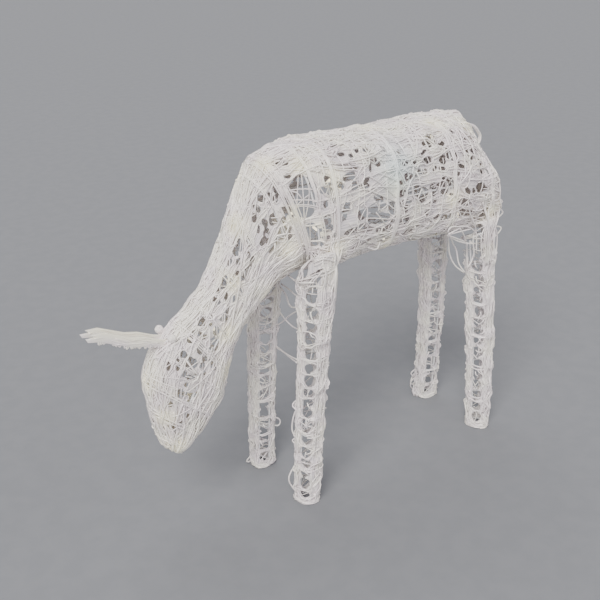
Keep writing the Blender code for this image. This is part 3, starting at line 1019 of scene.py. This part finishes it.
neckWinding = {
    "bumpHeight": 0.0015,
    "bumpSize": 0.024,
    "hoopRise": 0.0008,
    "windows": windowTable(
        (40, 458, 14, 10, -3), (20, 429, 12, 5, -7), (20, 442, 10, 8, -3), (40, 388, 13, 9, -13),
        (20, 362, 11, 7, 8), (20, 379, 10, 8, -8), (70, 421, 21, 10, -5), (110, 412, 11, 9, -8),
        (80, 433, 16, 9, -4), (60, 483, 20, 12, -4), (70, 500, 21, 8, -9), (30, 500, 9, 7, 12),
        (40, 525, 16, 7, 12), (90, 500, 16, 10, 12), (130, 463, 12, 6, -8), (120, 333, 9, 5, 6),
        (140, 354, 12, 11, 7), (80, 342, 17, 9, -8), (240, 346, 21, 16, -14), (270, 338, 12, 11, -5),
        (280, 375, 14, 8, -1), (240, 404, 15, 9, -8), (270, 450, 21, 12, -2), (300, 442, 16, 6, -8),
        (310, 333, 12, 6, -1), (360, 350, 12, 8, -1), (380, 358, 17, 6, -6), (330, 479, 16, 10, -10),
        (370, 458, 10, 8, -1), (430, 375, 10, 6, -8), (420, 454, 11, 9, -12), (450, 450, 17, 7, -5),
        (520, 354, 17, 15, 16), (560, 358, 10, 7, -9), (590, 362, 12, 12, 10), (500, 454, 16, 14, -9),
        (530, 471, 16, 7, -10), (590, 429, 16, 14, 2), (580, 479, 21, 16, 3), (640, 371, 14, 11, -10),
        (680, 375, 16, 6, 5), (690, 338, 11, 5, 5), (650, 425, 25, 17, -6), (630, 475, 11, 10, 6),
        (600, 525, 14, 11, 2), (690, 412, 11, 9, -11), (690, 442, 14, 7, -11), (720, 442, 11, 8, -11),
        (760, 429, 16, 11, 3), (750, 487, 12, 10, 1), (780, 487, 14, 12, 0), (890, 308, 11, 8, -7),
        (790, 271, 10, 7, -11), (880, 479, 17, 9, -3), (910, 442, 9, 7, 1),
    ),
    "chest": [],
    "outlook": {"along": (0.2, 0.5, 0.65, 0.8), "shift": (-0.11, -0.035, 0.0, 0.03),
                "drop": (0.20, 0.185, 0.167, 0.165), "grown": 1.3},
    "lots": (
        (60, (0.05, 0.93), (0.34, 0.56), (0.006, 0.015), (0.004, 0.008), -0.3),
        (45, (0.05, 0.93), (-0.06, 0.16), (0.006, 0.015), (0.004, 0.008), 0),
        (22, (0.05, 0.60), (0.70, 0.80), (0.008, 0.020), (0.005, 0.010), 0),
    ),
    "tufts": ((70, (0.25, 0.22, 0.75), 0.05, 0.0040),),
    "crossed": [],
    "bands": [(0.010, 10, 0.0020, (-0.0004, 0.004))]
    + [(share, 5, 0.003, (0.0, 0.004)) for share in frames["head_and_neck"]["hoops"]],
    "cover": (0.8, (0.8, 0.25, 0.10), (0.6, 0.62, 0.05)),
    "kinds": (
        (0.66, 0.0, 0.22, (0.16, 0.40), (0.18, 0.12, 0.40)),
        (0.24, 0.65, 0.30, (0.07, 0.18), (0.15, 0.12, 0.40)),
        (0.10, 1.50, 0.20, (0.06, 0.14), (0.20, 0.10, 0.30)),
    ),
    "stride": 0.0075,
    "depths": (0.0, 0.0042),
    "skinDepth": 0.0042,
    "crossEvery": 1,
}
windBody("torso", torsoCage, torsoWinding, chestWindows)
# the chest windows reach over the seam, where the neck's shares along run the other way
torsoLength = torsoCage.lengthAlong[:torsoCage.bodyRows, 80].sum()
neckLength = neckCage.lengthAlong[:neckCage.bodyRows, 40].sum()
overSeam = [
    (-a * torsoLength / neckLength, b, length, height, -tilt) for a, b, length, height, tilt in chestWindows
]
windBody("head_and_neck", neckCage, neckWinding, overSeam)

# Legs
legWinding = {
    "bumpHeight": 0.0050,
    "bumpSize": 0.018,
    "mostY": 0.1266,  # nothing of a leg stands out further sideways
    "lot": (30, (0.05, 0.90), (0.0, 1.0), (0.006, 0.016), (0.003, 0.006), 0.0),
    "lanes": (5, 0.0030, (-0.0008, 0.003)),
    "tufts": (60, (0.125, 0.375, 0.625, 0.875), 0.03, 0.0048),
    "bands": [(share, 3, 0.0020, (0.0, 0.003)) for share in frames["leg"]["hoops"][1:]]
    + [(0.012, 7, 0.0012, (0.0, 0.003), (0.6, 1.1))],
    "kinds": (
        (0.60, 0.0, 0.20, (0.10, 0.35), (0.45, 0.025, 0.070)),
        (0.40, 1.45, 0.30, (0.05, 0.14), (0.35, 0.03, 0.08)),
    ),
    "stride": 0.0070,
    "depths": (0.0, 0.0036),
    "skinDepth": 0.0034,
    "crossEvery": 3,
}
# The open tops of the near legs, where one sees through under the chest and under the rump
legTopWindows = {
    "front_left": windowTable(
        (1000, 790, 60, 44, 0), (1000, 930, 50, 34, 0), (955, 565, 17, 15, 2), (945, 130, 22, 22, 0),
        (905, 650, 18, 22, 1), (870, 60, 24, 28, 0)),
    "hind_left": windowTable(
        (955, 720, 50, 62, 0), (875, 740, 40, 46, 0), (945, 30, 45, 60, 0), (850, 20, 50, 50, 0),
        (935, 865, 85, 46, 0)),
}


rungs = {"first": 0.020, "last": 0.95, "tall": (0.013, 0.027), "gap": (0.005, 0.010), "tilt": 0.18}


def ladderWindows(ownRng, length, place, width):
    # windows one above another up a leg: those of the second face are lower, so one looks out through both
    around, drop = place
    windows = []
    at = rungs["first"]
    while at < length * rungs["last"]:
        tall, wide = ownRng.uniform(*rungs["tall"]), ownRng.uniform(*width)
        share = (at + tall / 2) / length - drop
        turned, tilt = around + ownRng.normal(0, 0.008), ownRng.normal(0, rungs["tilt"])
        if share > 0.02:
            windows.append((share, turned, tall, wide, tilt))
        at += tall + ownRng.uniform(*rungs["gap"])
    return windows


for name, cage in legs.items():
    ladder, mostY = ladderOf(name), legWinding["mostY"]
    length = cage.lengthAlong.mean() * cage.bodyRows
    legSeed = rng.integers(1000)
    windows = []
    for place in ladder["places"]:
        windows += ladderWindows(np.random.default_rng(legSeed), length, place, ladder["wide"])
    windows += scattered(*legWinding["lot"]) + legTopWindows.get(name, [])
    corner = np.clip(sum(near(cage.around, lane, 0.035) for lane in ladder["lanes"]), 0, 1)
    bumps = 0.2 + np.clip(cage.bumps(legWinding["bumpSize"]), 0, 1.3)
    room = np.clip(mostY - np.abs(cage.points[:, :, 1]), 0.0005, 0.0055)
    cage.relief = np.clip(corner * legWinding["bumpHeight"] * bumps, 0, room)
    extra = []
    for lane in ladder["lanes"]:
        top = 0.80 if name == "hind_left" and lane > 0.7 else 1.0  # these end below the open top
        extra += laneStrands(cage, lane, *legWinding["lanes"], top)
    extra += tufts(cage, *legWinding["tufts"])
    for band in legWinding["bands"]:
        extra += bandStrands(cage, *band)
    extra = [(np.clip(line, (-9, -mostY, 0), (9, mostY, 9)), share) for line, share in extra]
    windAll(f"{name}_leg", cage, windows, dict(legWinding, layers=0.35 + 0.5 * corner), extra)
print("legs wound")

# Shoulders and haunches: threads that run from the top of each leg up over the side of the torso, and a fan
# of rays from the chest to the near front leg
shoulders = {
    "threads": 18,  # from each leg
    "radius": 0.0016,
    "thickness": (0.75, 1.2),
    "legShares": (0.82, 0.92),  # where they start along the leg, and where they leave it
    "topShare": 0.965,
    "onward": 0.7,  # how much further on they run over the torso
    "mostY": 0.1262,
    "rays": 11,
    "hub": (-0.046, -0.070, 0.552),
    "rayShares": (0.90, 0.95),
}
torsoPoints = torsoCage.points[2:torsoCage.bodyRows].reshape(-1, 3)
shoulderLines = []


def onTorso(wanted):
    return torsoPoints[np.argmin(np.linalg.norm(torsoPoints - wanted, axis=1))]


for name, cage in legs.items():
    side = -1 if name.endswith("left") else 1
    for _ in range(int(shoulders["threads"] * thinning)):
        b = (0.5 if side < 0 else 0.0) + rng.normal(0, 0.13)
        if name == "front_left":
            b = rng.uniform(0.27, 0.42)
        low = cage.pointAt(rng.uniform(*shoulders["legShares"]), b)
        top = cage.pointAt(shoulders["topShare"], b)
        wanted = top + (rng.normal(0, 0.022), -side * 0.01, rng.uniform(0.018, 0.060))
        if name == "front_left":
            wanted = top + (rng.uniform(0.0, 0.03), 0.01, rng.uniform(0.010, 0.030))
        joint = onTorso(wanted)
        middle = (top + joint) / 2 + (0, side * 0.003, 0.002)
        beyond = onTorso(joint + (joint - top) * shoulders["onward"])
        line = smoothLine([low, top + (0, side * 0.001, 0), middle, joint, beyond], 0.007)
        line[:, 1] = np.clip(line[:, 1], -shoulders["mostY"], shoulders["mostY"])
        shoulderLines.append((line, rng.uniform(*shoulders["thickness"])))
for k in range(shoulders["rays"]):
    b = 0.36 + 0.40 * k / (shoulders["rays"] - 1)
    low = legs["front_left"].pointAt(rng.uniform(*shoulders["rayShares"]), b)
    hub = np.array(shoulders["hub"]) + rng.normal(0, 0.004, 3)
    middle = (low + hub) / 2 + (rng.normal(0, 0.002), -0.005, 0.004)
    shoulderLines.append((smoothLine([low, middle, hub], 0.006), rng.uniform(0.6, 1.0)))
finishThread(tubes("shoulder_threads", shoulderLines, shoulders["radius"], 4), "torso_thread_cover")
print("shoulders wound", len(shoulderLines))

# Loose threads: loops, crossings and drops that stand off the winding, each by a few points it passes, in mm
looseThreads = (
    ((-69, -20, 494), (-77, -50, 496), (-92, -100, 511), (-79, -116, 514)),  # chest strand
    ((-31, 60, 432), (-40, 30, 428), (-53, 0, 420), (-68, -40, 432), (-75, -68, 449)),  # front web a
    ((-38, 68, 343), (-41, 50, 355), (-53, 0, 395), (-73, -64, 438)),  # front web b
    ((-36, 68, 384), (-42, 40, 377), (-56, -10, 378), (-77, -66, 395)),  # front web c
    ((-41, 70, 296), (-44, 50, 297), (-65, -10, 313), (-83, -66, 331)),  # front web d
    ((-41, 70, 292), (-48, 40, 299), (-66, -20, 311), (-83, -66, 324)),  # front web e
    ((-30, 60, 440), (-42, 20, 446), (-58, -30, 452), (-72, -66, 462)),  # front web f
    ((-85, -72, 224), (-86, -66, 214), (-91, -62, 191), (-90, -62, 159), (-85, -72, 146)),
    ((-88, -72, 86), (-92, -66, 77), (-102, -62, 51), (-94, -64, 27), (-88, -72, 16)),
    ((-50, 74, 114), (-40, 66, 116), (-33, 64, 106), (-36, 66, 95), (-48, 72, 97)),  # far front side loop
    ((-88, 95, 30), (-94, 100, 16), (-100, 103, 4), (-96, 101, 3), (-90, 97, 12), (-85, 93, 22)),
    ((305, -85, 517), (338, -85, 497), (374, -85, 483), (425, -82, 476), (462, -76, 484)),  # haunch arc
    ((298, -92, 527), (301, -94, 536), (324, -97, 536), (363, -96, 525), (393, -90, 500), (410, -85, 481)),
    ((300, -92, 522), (330, -96, 531)),  # haunch ray a
    ((300, -91, 521), (364, -96, 522)),  # haunch ray b
    ((302, -90, 519), (362, -85, 490)),  # haunch ray c
    ((330, -96, 531), (348, -92, 512), (365, -85, 489)),  # haunch ray d
    ((302, -90, 520), (325, -72, 486), (337, -66, 460), (354, -68, 431), (377, -75, 410)),  # haunch drop a
    ((313, -88, 512), (335, -75, 489), (355, -68, 466), (365, -70, 432), (381, -75, 409)),  # haunch drop b
    ((367, -86, 487), (382, -76, 451), (384, -78, 419)),  # haunch drop c
    ((379, -86, 486), (398, -80, 471), (402, -78, 452), (394, -80, 435), (384, -80, 423)),  # haunch drop d
    ((452, -80, 506), (474, -88, 500), (456, -82, 474)),  # rump spike a
    ((460, -78, 549), (481, -83, 533), (466, -78, 518)),  # rump spike b
    ((462, -78, 570), (477, -82, 559), (464, -78, 549)),  # rump spike c
    ((66, -78, 548), (79, -82, 540), (104, -86, 532), (112, -85, 545)),  # belly loop
    ((441, 106, 66), (429, 118, 48), (427, 120, 22), (436, 119, 18), (444, 114, 40)),
    ((438, 108, 50), (424, 117, 34), (430, 120, 8), (444, 117, 4), (449, 112, 16)),  # far hind foot tangle b
    ((440, 106, 36), (420, 116, 58), (436, 110, 72)),  # far hind foot tangle c
)
looseRadius = 0.0017
loose = [(smoothLine(np.array(points) / 1000, 0.005), 1.0) for points in looseThreads]
finishThread(tubes("loose_threads", loose, looseRadius, 6), "torso_thread_cover")
print("loose threads laid", len(loose))

# Antlers: a bundle of threads over a flat core that follows the drawn outline
antler = {
    "outwards": 0.012,
    "outline": (  # x and z in mm
        (-255, 425), (-286, 435), (-318, 450), (-345, 457), (-368, 468), (-394, 480), (-413, 481),
        (-402, 474.5), (-426, 476), (-424, 471.5), (-404, 467), (-380, 456), (-350, 442), (-326, 434),
        (-300, 430), (-260, 408),
    ),
    "upper": ((-252, 424), (-286, 434), (-318, 449), (-345, 456), (-368, 467), (-394, 479), (-412, 480.5)),
    "lower": ((-256, 411), (-300, 431), (-326, 435), (-350, 443), (-380, 457), (-404, 468), (-425, 473.5)),
    "halfThickness": 0.0030,
    "threads": 17,
    "wholeThreads": 6,  # these reach the tip
    "threadRadius": 0.0011,
    "thickness": (0.75, 1.1),
    "coreBevel": 0.0010,
    "gaps": 0.35,  # share of places without a small loop
    "loopDrop": (0.0025, 0.0075),
    "loopLean": (0.0, 0.004),
    "loopThickness": (1.3, 2.1),
    "glowReach": 0.008,
}


def makeAntler(name, side):
    y = side * antler["outwards"]
    curve = newCurve(name, antler["coreBevel"], 1)
    curve.dimensions = "2D"
    curve.fill_mode = "BOTH"
    curve.extrude = antler["halfThickness"] - 0.0012
    addSpline(curve, [(x / 1000 + shiftX, z / 1000, 0) for x, z in antler["outline"]], closed=True)
    core = curveToMesh(f"{name}_core", curve)
    for vertex in core.data.vertices:
        x, z, out = vertex.co
        vertex.co = (x, y + out, z)
    cleanMesh(merge=0.0001, turnOutwards=True)
    bpy.ops.object.shade_smooth_by_angle(angle=math.radians(40))
    upper, lower = (
        smoothLine([(x / 1000 + shiftX, y, z / 1000) for x, z in antler[edge]], 0.004)
        for edge in ("upper", "lower")
    )
    count = min(len(upper), len(lower))
    strands = []
    for k in range(antler["threads"]):
        begin = rng.integers(0, count // 3)
        end = count - (0 if k < antler["wholeThreads"] else rng.integers(0, count // 3))
        s = np.arange(begin, end)
        v = rng.uniform(0, 1) + 0.35 * np.sin(s * rng.uniform(0.08, 0.22) + rng.uniform(0, 6))
        v = np.clip(v, -0.02, 1.02)[:, None]
        out = antler["halfThickness"] * np.sin(s * rng.uniform(0.10, 0.30) + rng.uniform(0, 6))
        line = upper[s] * (1 - v) + lower[s] * v
        line[:, 1] += np.sign(out) * np.clip(np.abs(out), 0.0018, 1)
        strands.append((line, rng.uniform(*antler["thickness"])))
    for k in range(4, count - 1):
        if rng.uniform() < antler["gaps"]:
            continue
        # one small loop of thread hangs under the lower edge here, leaning to the tip
        drop, lean = rng.uniform(*antler["loopDrop"]), rng.uniform(*antler["loopLean"])
        ends = lower[k - 1] + (0, 0.001, 0.001), lower[k + 1] + (0, -0.001, 0.001)
        loop = [ends[0], lower[k] - (lean, 0, drop), ends[1]]
        strands.append((smoothLine(loop, 0.0018), rng.uniform(*antler["loopThickness"])))
    curl = [upper[2] + (0, -0.003, -0.001), lower[5] + (0.002, -0.004, -0.001),
            lower[8] + (0, -0.004, -0.002), lower[5] + (-0.001, -0.003, -0.006),
            lower[2] + (0.004, -0.003, -0.003)]
    strands.append((smoothLine(curl, 0.003), 1.1))
    wound = tubes(f"{name}_threads", strands, antler["threadRadius"], 6)
    # the core and threads get a painted glow along the antler's upper edge, where there is no lamp
    for piece in (core, wound):
        finishThread(piece, name, threadMaterial, antler["glowReach"], upper[4::3] + (0, 0, 0.002))


makeAntler("left_antler", -1)
makeAntler("right_antler", 1)

# Ears: a small ball on a stem, both wound with thread
ear = {
    "foot": (-0.256, 0.0215, 0.412),
    "ball": (-0.267, 0.0245, 0.437),
    "ballRadius": 0.0070,
    "stemRadius": 0.0040,
    "threadRadius": 0.0013,
    "ballThreads": 7,
    "stemThreads": 8,
}


def makeEar(name, side):
    foot, ball = (np.array(ear[end]) * (1, side, 1) + (shiftX, 0, 0) for end in ("foot", "ball"))
    workOn()
    bpy.ops.mesh.primitive_uv_sphere_add(segments=20, ring_count=12, radius=ear["ballRadius"], location=ball)
    core = bpy.context.active_object
    core.name = f"{name}_ball"
    bpy.ops.object.transform_apply(location=True, rotation=True, scale=True)
    bpy.ops.object.shade_smooth()
    strands, loops = [], []
    turn = np.linspace(0, fullTurn, 21)[:-1, None]
    for _ in range(ear["ballThreads"]):
        tilt, spin = rng.uniform(-0.9, 0.9), rng.uniform(0, math.pi)
        across = np.array([math.cos(spin), math.sin(spin), 0])
        up = np.array([-math.sin(spin) * math.sin(tilt), math.cos(spin) * math.sin(tilt), math.cos(tilt)])
        ring = np.cos(turn) * across + np.sin(turn) * up
        loops.append((ball + (ear["ballRadius"] + 0.0001) * ring, 0.9))
    axis = (ball - foot) / np.linalg.norm(ball - foot)
    sideways = np.cross(axis, (1, 0, 0))
    sideways /= np.linalg.norm(sideways)
    forward = np.cross(axis, sideways)
    t = np.linspace(-0.12, 0.9, 12)[:, None]
    for k in range(ear["stemThreads"]):
        angle = k * fullTurn / ear["stemThreads"] + t * rng.uniform(1, 3)
        ring = np.cos(angle) * sideways + np.sin(angle) * forward
        strands.append((foot + t * (ball - foot) + ear["stemRadius"] * 0.6 * ring, 1.2))
    wound = tubes(f"{name}_threads", strands, ear["threadRadius"], 6, loops)
    for piece in (core, wound):
        finishThread(piece, name)


makeEar("left_ear", -1)
makeEar("right_ear", 1)

# Tail: three threads twisted together round the loop, and one that crosses it
tail = {
    "route": ((0.452, 0, 0.716), (0.475, 0, 0.722), (0.506, 0, 0.723), (0.533, 0, 0.710), (0.548, 0, 0.690),
              (0.543, 0, 0.672), (0.524, 0, 0.662), (0.480, 0, 0.659)),
    "crossing": ((0.495, 0.003, 0.722), (0.522, -0.004, 0.700), (0.545, 0.002, 0.682)),
    "twistRadius": 0.0022,
    "twist": 0.32,  # turn from one point of the line to the next
    "threadRadius": 0.0021,
}
middle, crossed = (
    smoothLine(np.array(tail[line]) + (shiftX, 0, 0), 0.004) for line in ("route", "crossing")
)
forward = np.gradient(middle, axis=0)
forward /= np.linalg.norm(forward, axis=1, keepdims=True)
inPlane = np.cross(forward, (0, 1, 0))
twisted = []
for k in range(3):
    angle = (np.arange(len(middle)) * tail["twist"] + k * fullTurn / 3)[:, None]
    offset = np.cos(angle) * np.array([0, 1, 0]) + np.sin(angle) * inPlane
    twisted.append((middle + offset * tail["twistRadius"], 1.0))
twisted.append((crossed, 0.7))
finishThread(tubes("tail_threads", twisted, tail["threadRadius"], 6), "tail_loop")
print("antlers, ears and tail made")

# Stage
stage = {
    "cameraAt": (-1.040, -1.351, 1.168),
    "cameraAim": (-0.0258, 0.0, 0.423),
    "lens": 54,
    "worldColour": (0.88, 0.87, 0.90),
    "worldStrength": 0.45,
    "lights": {  # where each comes from, its angle, strength and colour
        "key light": ((-4.6, -3.2, 5.4), 0.5, 3.4, (1.0, 0.98, 0.95)),
        "low light": ((-3.2, -5.2, 1.5), 0.9, 1.2, (1.0, 0.98, 0.96)),
        "fill light": ((5.0, -4.0, 2.6), 0.9, 0.5, (0.96, 0.97, 1.0)),
        "top light": ((0.6, 2.4, 5.2), 0.7, 1.0, (1.0, 1.0, 1.0)),
    },
}
floorFinish = {
    "colourA": (0.212, 0.218, 0.236),
    "colourB": (0.223, 0.229, 0.247),
    "roughness": (0.75, 0.85),
    "grainScale": 60,
    "bump": 0.02,
    "coat": 0.0,
}
workOn()
bpy.ops.mesh.primitive_plane_add(size=60, location=(0, 0, 0))
floor = bpy.context.active_object
floor.name = "studio_floor"
floor.data.materials.append(grainedMaterial("pale studio floor", floorFinish))

for name, (at, angle, strength, colour) in stage["lights"].items():
    # broad and far off, so that the floor stays even
    light = bpy.data.lights.new(name, "SUN")
    light.angle, light.energy, light.color = angle, strength, colour
    lightObject = newObject(name, light)
    lightObject.location = at
    lightObject.rotation_euler = Vector(at).to_track_quat("Z", "Y").to_euler()
world = bpy.data.worlds.new("studio")
bpy.context.scene.world = world
world.use_nodes = True
background = world.node_tree.nodes["Background"].inputs
background["Color"].default_value = (*stage["worldColour"], 1)
background["Strength"].default_value = stage["worldStrength"]

camera = newObject("photograph camera", bpy.data.cameras.new("photograph camera"))
camera.data.lens = stage["lens"]
camera.data.sensor_width = 36
camera.location = stage["cameraAt"]
camera.rotation_euler = (Vector(stage["cameraAim"]) - camera.location).to_track_quat("-Z", "Y").to_euler()
bpy.context.scene.camera = camera
print("stage set")
